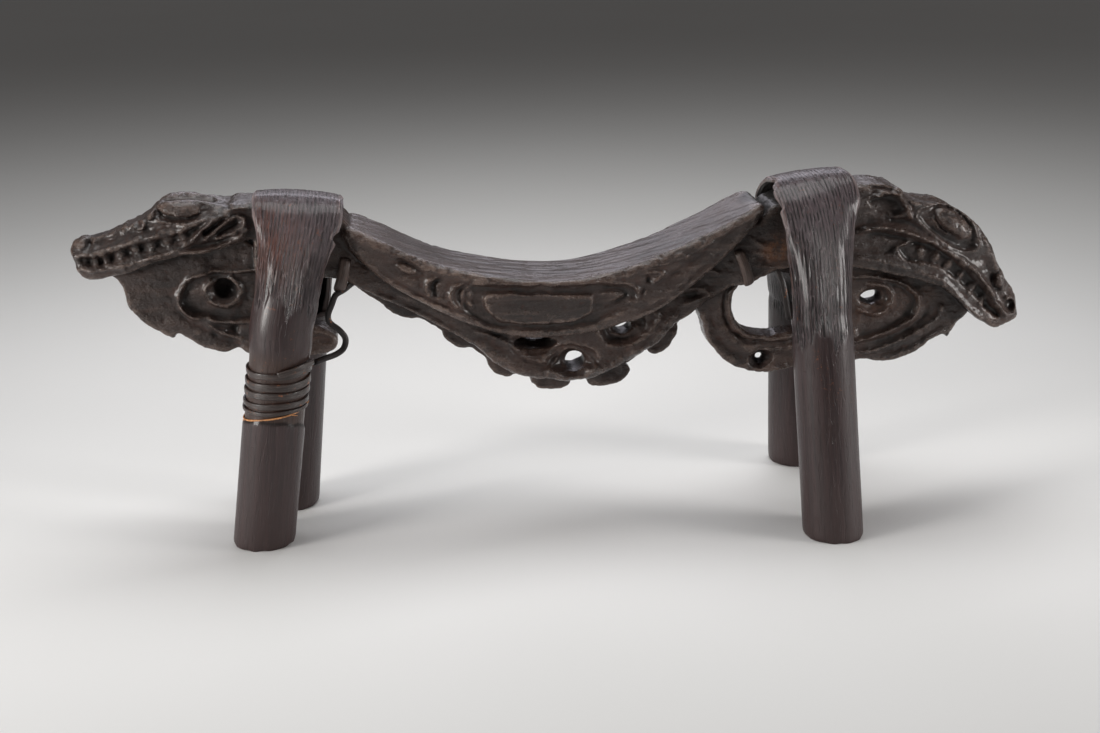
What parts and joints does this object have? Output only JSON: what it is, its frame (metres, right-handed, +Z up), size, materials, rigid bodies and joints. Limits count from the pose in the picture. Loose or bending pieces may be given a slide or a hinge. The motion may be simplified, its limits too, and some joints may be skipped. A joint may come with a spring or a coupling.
{
  "type": "headrest",
  "caption": "Carved concave wooden headrest bar with an animal head at each end, resting on two bent bamboo yokes held with cane.",
  "frame": {"origin": "on the floor under the middle of the overall box", "axes": "+X along the bar towards the head that looks down, +Y to the back, +Z up; the front faces -Y"},
  "size_m": [0.472, 0.1282, 0.1744],
  "materials": {
    "carved_wood": "old hand-polished dark patina, satin on high points, dull in the hollows",
    "bamboo": "smoked bamboo, satin, shaved and fibrous where it passes over the bar",
    "cane": "split cane, dark, worn at the edges",
    "fibre": "dry plant fibre, orange brown"
  },
  "bodies": {
    "root": {"carved_bar": "carved_wood", "left_yoke": "bamboo", "right_yoke": "bamboo", "left_brace": "cane", "right_brace": "cane", "left_leg_lashing": "cane", "left_lashing_fibre": "fibre"}
  },
  "joints": []
}
